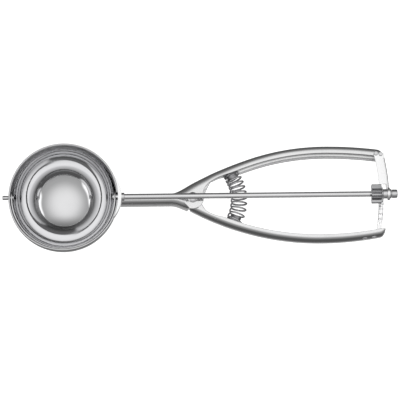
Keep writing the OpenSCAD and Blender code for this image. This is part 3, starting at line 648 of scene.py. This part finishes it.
def scraper():
    """A band of the ball from pole to pole. Its centre line is the half circle (sin s, -cos s, 0). Points lie off it by
    an angle b to each side, with b from the width, which tapers to the lugs and closes in a half circle past the
    poles. Outer and inner skins and two rounded edges close each station."""
    over = LUG_R / BLADE_OUT
    s = np.concatenate(
        [
            -math.pi / 2 - over * np.cos(np.linspace(0, math.pi / 2, 12)),
            np.linspace(-math.pi / 2, math.pi / 2, 121)[1:-1],
            math.pi / 2 + over * np.sin(np.linspace(0, math.pi / 2, 12)),
        ]
    )
    past = np.maximum(np.abs(s) - math.pi / 2, 0) * BLADE_OUT
    width = np.interp(np.abs(BLADE_OUT * np.sin(s)), [15, 30], [BLADE_W / 2, LUG_R])
    width = np.where(past > 0, np.sqrt(np.maximum(LUG_R**2 - past**2, 0)), width)
    width[[0, -1]] = 0.03
    mid, half = (BLADE_OUT + BLADE_IN) / 2, (BLADE_OUT - BLADE_IN) / 2
    across, one = np.linspace(-1, 1, 17), np.ones(17)
    edge = np.radians(np.linspace(-90, 90, 7)[1:-1])
    side, swell, depth = np.ones(5), half * np.cos(edge), half * np.sin(edge)
    off = np.concatenate([across, side, across[::-1], -side])
    rad = np.concatenate([BLADE_OUT * one, mid - depth, BLADE_IN * one, mid + depth])
    extra = np.concatenate([0 * one, swell, 0 * one, -swell])
    share = np.minimum(1, width / half / 2)[:, None]
    reach = (width[:, None] - half * share) * off + extra * share
    b = reach / mid
    sx, cx = np.sin(s)[:, None], np.cos(s)[:, None]
    points = np.stack([rad * np.cos(b) * sx, -rad * np.cos(b) * cx, rad * np.sin(b)], -1)
    rest = math.radians(BLADE_REST)
    y, z = points[..., 1].copy(), points[..., 2].copy()
    points[..., 1] = y * math.cos(rest) - z * math.sin(rest)
    points[..., 2] = y * math.sin(rest) + z * math.cos(rest)
    form = Form().grid(points, False, True, caps=True)
    form.piece("scraper_band", "scraper", BLADE, "polished_steel", ["scraper_blade"], sharp=40)


def turning_parts():
    """Rod, pin, washer and knob turn with the blade, and the rear bush carries them. The rod's and the pin's spigots
    go through the blade's lugs and end in round heads inside the bowl."""
    inner, outer = SPIGOT_HEAD
    rod = [(SPIGOT_END, 0), (SPIGOT_END, PIN_R), (inner, PIN_R), (inner, SPIGOT_HEAD_R), (outer, SPIGOT_HEAD_R)]
    rod += [(outer, PIN_R), (SHOULDER_X, PIN_R), (SHOULDER_X, ROD_R), (KNOB[1], ROD_R), (KNOB[1], 0)]
    form = Form().turned(rod, [0, 0.2, 0, 0.2, 0.1, 0, 0, 0.1, 0.3, 0], turns=48)
    form.piece("drive_rod_drawn", "scraper", ROD, "rod_steel", ["drive_rod"])
    pin = [(TIP_HEAD[0], 0), (TIP_HEAD[0], TIP_HEAD_R), (TIP_HEAD[1], TIP_HEAD_R), (TIP_HEAD[1], PIN_R)]
    pin += [(-outer, PIN_R), (-outer, SPIGOT_HEAD_R), (-inner, SPIGOT_HEAD_R), (-inner, 0)]
    form = Form().turned(pin, [0, 0.35, 0.1, 0, 0, 0.1, 0.2, 0], turns=48)
    form.piece("tip_pin_turned", "scraper", TURNED, "turned_steel", ["tip_pin"])
    sleeve(THRUST_WASHER, REAR_BUSH_R, ROD_R, "thrust_washer_ring", "scraper", "thrust_washer", 0.12)
    knob = [(KNOB[0], 0), (KNOB[0], KNOB_R), (KNOB[1], KNOB_R), (KNOB[1], 0)]
    form = Form().turned(knob, [0, 0.3, 0.7, 0], turns=48, steps=7)
    form.piece("end_knob_turned", "scraper", TURNED, "turned_steel", ["end_knob"])
    sleeve(REAR_BUSH, REAR_BUSH_R, ROD_R + RUN_GAP, "rear_bearing", "frame", "rear_bush", 0.3)


def involute(r, base):
    """The involute's angle at radius r: tan(c) - c, where cos(c) = base / r."""
    c = np.arccos(np.minimum(base / r, 1))
    return np.tan(c) - c


def tooth_outline():
    """One turn of the pinion's outline: involute flanks. At radius r a flank stands tooth half angle + inv(pitch) -
    inv(r) from the tooth's middle, with inv the involute's angle."""
    base = PITCH_R * math.cos(PRESSURE)
    half = math.radians(90 / TEETH) - BACKLASH / 4 / PITCH_R
    r = np.linspace(base, TIP_R, 7)
    foot = half + involute(np.array(PITCH_R), base)
    off = foot - involute(r, base)
    radius = np.concatenate([[ROOT_R], r, r[::-1], [ROOT_R]])
    angle = np.concatenate([[-foot - 0.03], -off, off[::-1], [foot + 0.03]])
    k = np.arange(TEETH)[:, None] * 2 * math.pi / TEETH - math.pi / 2
    return np.stack([radius * np.cos(angle + k), radius * np.sin(angle + k)], -1).reshape(-1, 2)


def bevelled(x0, x1, bevel):
    """Stations from one face to the other, and how far the outline shrinks there: a quarter circle at each face."""
    k = np.linspace(0, math.pi / 2, 4)
    back, shrink = bevel * (1 - np.cos(k)), bevel * (1 - np.sin(k))
    return np.concatenate([x0 + back, x1 - back[::-1]]), np.concatenate([shrink, shrink[::-1]])


def pinion():
    """The outline is carried along X. Near each face it shrinks towards the axis by the bevel's circle, and a flat
    face runs in to the bore."""
    outline = tooth_outline()
    x, shrink = bevelled(*PINION, 0.25)
    radius = np.hypot(*outline.T)
    scale = 1 - shrink[:, None] / radius
    rings = np.stack([x[:, None] + 0 * radius, scale * outline[:, 0], scale * outline[:, 1]], -1)
    bore = outline / radius[:, None] * (ROD_R - 0.02)
    faces = [np.stack([at + 0 * radius, bore[:, 0], bore[:, 1]], -1)[None] for at in PINION]
    points = np.concatenate([faces[0], rings, faces[1]])
    Form().grid(points, True, True).piece("pinion_cut", "scraper", CUT, "turned_steel", ["pinion"], sharp=30)


scraper()
turning_parts()
pinion()


# ---------------------------------------------------------------- rack and bridge


def round_pivot(loops, deg):
    """Section loops in (distance from the pivot, height), one for each angle about the pivot, set in space."""
    c, s = np.cos(np.radians(deg))[:, None], np.sin(np.radians(deg))[:, None]
    return np.stack([PIVOT[0] + loops[..., 0] * c, PIVOT[1] + loops[..., 0] * s, loops[..., 1]], -1)


def rack_top(deg):
    """The height of the rack's toothed edge: straight flanks at the pressure angle between flat tips and roots, one
    gap every tooth pitch with a gap's middle at 0. Past the teeth the edge steps down."""
    pitch = math.pi * MODULE
    run = np.radians(deg) * RACK_MID
    off = np.abs((run + pitch / 2) % pitch - pitch / 2)
    half = (pitch + BACKLASH) / 4
    tip, root = -PITCH_R + 0.8 * MODULE, -PITCH_R - 1.25 * MODULE
    flank = -PITCH_R + (off - half) / math.tan(PRESSURE)
    return np.where(deg < RACK_TEETH_FROM, RACK_SHOULDER, np.clip(flank, root, tip))


def rack():
    """A curved strip about the pivot whose upper edge is cut into teeth, with a flat tab riveted to the lever."""
    step = [RACK_TEETH_FROM, RACK_TEETH_FROM + 0.001]
    deg = np.unique(np.concatenate([np.linspace(RACK_FROM, RACK_TO, 690), step]))
    top = rack_top(deg)
    one = 0 * deg
    foot = RACK_FOOT + one
    corners = [(RACK_OUT + one, top), (RACK_OUT + one, foot), (RACK_IN + one, foot), (RACK_IN + one, top)]
    loops = rounded(np.stack([np.stack(c, -1) for c in corners], 1), 0.14, 3)
    form = Form().grid(round_pivot(loops, deg), False, True, caps=True)
    length = MOVING_TAIL[3] * abs(math.radians(MOVING_TAIL[2]))
    p, h = along(MOVING_TAIL, np.linspace(TAB_END - TAB_L / length, TAB_END, 30))
    box = [(SHEET, RACK_SHOULDER), (SHEET, RACK_FOOT), (2 * SHEET, RACK_FOOT), (2 * SHEET, RACK_SHOULDER)]
    loop = rounded(box, 0.2, 3)
    plan = p[:, None] - loop[None, :, :1] * aim(h + 90)[:, None]
    points = np.concatenate([plan * (1, -1), np.broadcast_to(loop[None, :, 1:], (*plan.shape[:2], 1))], -1)
    form.grid(points, False, True, caps=True)
    form.piece("rack_cut", "squeeze_lever", BRIDGE, "turned_steel", ["toothed_rack"], sharp=30)
    # the tab's two rivets: their heads stand outside the web and inside the tab
    profile = [(0.5, 0), (0.45, 1.3), (0.0, 1.5), (-0.1, 0.9)]
    profile += [(-2.4, 0.9), (-2.45, 1.5), (-2.9, 1.3), (-2.95, 0)]
    rivets = Form()
    for back in (0.8, 0.38):
        q, heading = along(MOVING_TAIL, TAB_END - TAB_L / length * back)
        out = aim(heading + 90)
        centre = np.array([q[0], -q[1], (RACK_FOOT + RACK_SHOULDER) / 2])
        rivets.grid(about(profile, centre, np.array([out[0], -out[1], 0]), 28), False, True)
    rivets.piece("rack_rivet_heads", "squeeze_lever", TURNED, "turned_steel", ["rack_rivets"])


def bridge():
    """An angle section about the pivot: its flat plate is riveted to the fixed lever, its standing edge goes on to
    the rod alone, and ends in an eye round the rear bush."""
    out, t = BRIDGE_OUT, BRIDGE_T
    top, foot = TOP + t, TOP + t - BRIDGE_H
    start = math.degrees(math.asin((TIP_R + 0.6) / (out - BRIDGE_W)))
    edge_end = math.degrees(math.asin((FIXED_END[1] - 4.8) / out))
    end = math.degrees(math.asin((FIXED_END[1] - 2.0) / out))
    deg = np.concatenate([np.linspace(1.2, start - 0.02, 20), np.linspace(start, end, 70)])
    one = 0 * deg
    plate = np.where(deg < start, out - t, out - BRIDGE_W)
    low = np.where(deg > edge_end, top - t, foot)
    stands = low < top - t - 0.01
    corners = [
        (out + one, top + one, np.where(stands, 1.1, 0.2)),
        (out + one, low, 0.15 + one),
        (np.where(stands, out - t, plate), low, np.where(stands, 0.15, 0)),
        (np.where(stands, out - t, plate), top - t + one, np.where(stands & (deg >= start), 0.3, 0)),
        (plate, top - t + one, np.where(deg >= start, 0.15, 0)),
        (plate, top + one, 0.15 + one),
    ]
    shape = np.stack([np.stack([q, z], -1) for q, z, _ in corners], 1)
    loops = rounded(shape, np.stack([r + one for _, _, r in corners], 1), 5)
    form = Form().grid(round_pivot(loops, deg), False, True, caps=True)
    # the eye: polar about the rod, its edge a circle that runs out into the square foot of the standing edge
    corner = math.atan2(foot, EYE_R) % (2 * math.pi)
    a = np.sort(np.append(np.linspace(0, 2 * math.pi, 120, endpoint=False), corner))
    c, s = np.cos(a), np.sin(a)
    box = np.minimum(EYE_R / np.maximum(c, 1e-3), -foot / np.maximum(-s, 1e-3))
    edge = np.where((c > 0) & (s < 0), np.maximum(EYE_R, box), EYE_R)
    x0, x1 = PIVOT[0] + out - t, PIVOT[0] + out
    x, shrink = bevelled(x0, x1, 0.2)
    r = np.vstack([0 * edge, edge - shrink[:, None], 0 * edge])
    r[[0, -1]] = REAR_BUSH_R - 0.02
    x = np.concatenate([[x0], x, [x1]])[:, None]
    form.grid(np.stack([x + 0 * r, r * c, r * s], -1), True, True)
    form.piece("bridge_pressing", "frame", BRIDGE, "satin_steel", ["rear_bridge"])
    under = TOP - SHEET
    profile = [(top + 0.55, 0), (top + 0.5, 1.05), (top, 1.27), (top, 0.9)]
    profile += [(under, 0.9), (under, 1.27), (under - 0.5, 1.05), (under - 0.55, 0)]
    heads = Form()
    for back in (4.4, 1.8):
        q, _ = along(FIXED_TAIL, 1 - back / (FIXED_END[0] - GRIP_CREST[0]), 3.0)
        heads.turned(profile, 0.15, (q[0], q[1], 0), "z", turns=28)
    heads.piece("bridge_rivet_heads", "frame", TURNED, "turned_steel", ["bridge_rivets"])


rack()
bridge()


# ---------------------------------------------------------------- return spring


def spring_frame(deg):
    """Unit vectors outwards from the pivot and round it, at an angle."""
    return np.concatenate([aim(deg), 0 * deg[..., None]], -1), np.concatenate([aim(deg + 90), 0 * deg[..., None]], -1)


def spring():
    """A round wire in curls about an arc round the pivot: at angle d about the pivot and g round the curl its middle
    is pivot + (R + r cos g) * outwards + r sin g * up. Each curl moves on along the arc only on its inner side, from
    0.42 to 0.58 of its turn, and the curls stand closer towards the fixed lever. Both ends run straight on to the
    seats."""
    turn = np.linspace(0, CURLS, CURLS * 40 + 1)
    whole, part = np.floor(turn), turn % 1
    step = np.clip((part - 0.42) / 0.16, 0, 1)
    share = (whole + step * step * (3 - 2 * step)) / CURLS
    low, high = 0.5 - SEAT_LOW, SEAT_UP - 2.0
    d = low + (high - low) * (1.25 * share - 0.25 * share**2)
    g = np.concatenate([[0, 0], 2 * math.pi * turn, [0, 0]])
    d = np.concatenate([[-SEAT_LOW, low - 0.2], d, [high + 0.5, SEAT_UP]])
    out, _ = spring_frame(d)
    middle = np.array([*PIVOT, SPRING_Z]) + (SPRING_R + CURL_R * np.cos(g))[:, None] * out
    middle[:, 2] += CURL_R * np.sin(g)
    tangent = np.gradient(middle, axis=0)
    tangent /= np.linalg.norm(tangent, axis=1)[:, None]
    hub = np.array([*PIVOT, SPRING_Z]) + SPRING_R * out
    u = middle - hub
    u -= (u * tangent).sum(1)[:, None] * tangent
    u /= np.linalg.norm(u, axis=1)[:, None]
    v = np.cross(tangent, u)
    a = np.linspace(0, 2 * math.pi, 14, endpoint=False)[None, :, None]
    points = middle[:, None] + WIRE_D / 2 * (np.cos(a) * u[:, None] + np.sin(a) * v[:, None])
    wire = Form().grid(points, False, True, caps=True)
    obj = wire.piece("return_spring_wire", "frame", WIRE, "spring_wire", ["return_spring"], sharp=50, ride=False)
    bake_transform(obj)


def seats():
    """Each end of the spring sits on a turned cup with a stud inside the curls, on a post from the lever's web."""
    for deg, turn, body, node, name, path in (
        (SEAT_UP, 1, "frame", "upper_spring_seat", "upper_seat_turned", GRIP),
        (-SEAT_LOW, -1, "squeeze_lever", "lower_spring_seat", "lower_seat_turned", MOVING),
    ):
        out, round_it = spring_frame(np.array(deg))
        base = np.array([*PIVOT, SPRING_Z]) + SPRING_R * out
        r = CURL_R - WIRE_D / 2 - 0.7
        profile = [(-2.6, 0), (-2.6, r), (0, r), (0, SEAT_CUP_R), (1.1, SEAT_CUP_R), (1.1, r), (9, r), (9, 0)]
        points = about(profile, base, round_it * turn, 40)
        # the post's end lies in the middle of the web's sheet: what stands past that goes back along the post
        stations, headings = trace(path, 0.5)
        plan = points[..., :2] * (1, turn)
        near = np.argmin(((plan[..., None, :] - stations) ** 2).sum(-1), -1)
        inward = -aim(headings + 90)[near]
        deep = ((plan - stations[near]) * inward).sum(-1)
        lean = (round_it[:2] * (1, turn) * turn * inward).sum(-1)
        back = np.where(deep < SHEET / 2, (SHEET / 2 - deep) / np.minimum(lean, -0.2), 0)
        points += back[..., None] * round_it * turn
        Form().grid(points, False, True).piece(name, body, SEAT, "turned_steel", [node])


spring()
seats()


# ---------------------------------------------------------------- floor, light and camera


ELEVATION = math.radians(77)
TO_CAMERA = (0, -math.cos(ELEVATION), math.sin(ELEVATION))


def studio():
    """A pale floor that mirrors don't see, and a world that is light by direction alone: a dome that brightens
    upwards and is dimmer behind the object, a lamp strip at the left and at the right, and a patch below for the
    levers' lower webs. Light that has been reflected twice or more comes from a darker room with a camera in it, as
    between two walls of the bowl. The ray depth counts the sky itself as one."""
    bpy.ops.mesh.primitive_plane_add(size=4, location=(0, 0, 0))
    floor = bpy.context.object
    floor.name = "floor"
    m = bpy.data.materials.new("pale_floor")
    n = Nodes(m)
    diffuse = n.add("ShaderNodeBsdfDiffuse", {}, {"Color": (0.9, 0.9, 0.9, 1)})
    glow = n.add("ShaderNodeEmission", {}, {"Color": (1, 1, 1, 1), "Strength": 0.8})
    both = n.add("ShaderNodeAddShader", {}, {0: diffuse, 1: glow})
    n.add("ShaderNodeOutputMaterial", {}, {"Surface": both})
    floor.data.materials.append(m)
    floor.visible_glossy = False

    world = bpy.data.worlds.new("studio")
    bpy.context.scene.world = world
    n = Nodes(world)
    where = n.add("ShaderNodeTexCoord", output="Generated")
    split = n.add("ShaderNodeSeparateXYZ", {}, {"Vector": where})
    x, y, z = (Value(n, split.socket.node.outputs[k]) for k in range(3))
    lamps = (n.facing(where, 10) + n.facing(where, -165)) * z.over(0.42, 0.48) * (1 - z.over(0.56, 0.64))
    below = n.cone(where, (0, 0.29, -1), 11, 37)
    dome = z.over(-0.9, 0.3) * 0.22 + z.over(0.2, 0.70) * 0.20 + z.over(0.62, 1.0) * 0.53 + 0.10
    dome = dome * (1 - y.over(0.42, 0.92) * 0.55)
    # the room is dark below, and darkest in a wedge in front, where someone stands, and in the camera's lens
    deep = n.add("ShaderNodeLightPath", output="Ray Depth").over(2.4, 2.6)
    stand = (y * -1 - abs(x) * 2.6).over(0.0, 0.12) * z.over(0, 0.1)
    lens = n.cone(where, TO_CAMERA, 2.5, 4)
    room = z.over(0.66, 0.98) * 1.35 - z.over(-0.1, 0) * 0.5 + 0.64
    room = room * (1 - stand * 0.8) * (1 - lens * 0.85)
    level = dome * (1 - deep) + room * deep + lamps + below * 0.6
    light = n.add("ShaderNodeBackground", {}, {"Color": (1, 1, 1, 1), "Strength": level})
    n.add("ShaderNodeOutputWorld", {}, {"Surface": light})


def camera():
    """The camera looks at the point that the photograph's middle shows, from in front and high above, turned a little
    so that the rod rises to the right. The frame's 400 pixels span 218.3 mm at that point."""
    roll, distance, span = math.radians(0.63), 1.25, 0.2183
    target, back = np.array([0.0, -0.00233, 0.030]), np.array(TO_CAMERA)
    up = np.array([0, math.sin(ELEVATION), math.cos(ELEVATION)])
    side = math.cos(roll) * np.array([1.0, 0, 0]) - math.sin(roll) * up
    up = np.cross(back, side)
    data = bpy.data.cameras.new("camera")
    data.sensor_width = 36
    data.lens = 36 * distance / span
    data.clip_start, data.clip_end = 0.05, 20
    obj = bpy.data.objects.new("camera", data)
    bpy.context.scene.collection.objects.link(obj)
    matrix = np.eye(4)
    matrix[:3, 0], matrix[:3, 1], matrix[:3, 2], matrix[:3, 3] = side, up, back, target + back * distance
    obj.matrix_world = Matrix(matrix.tolist())
    bpy.context.scene.camera = obj
    bpy.context.scene.view_settings.view_transform = "Standard"


studio()
camera()
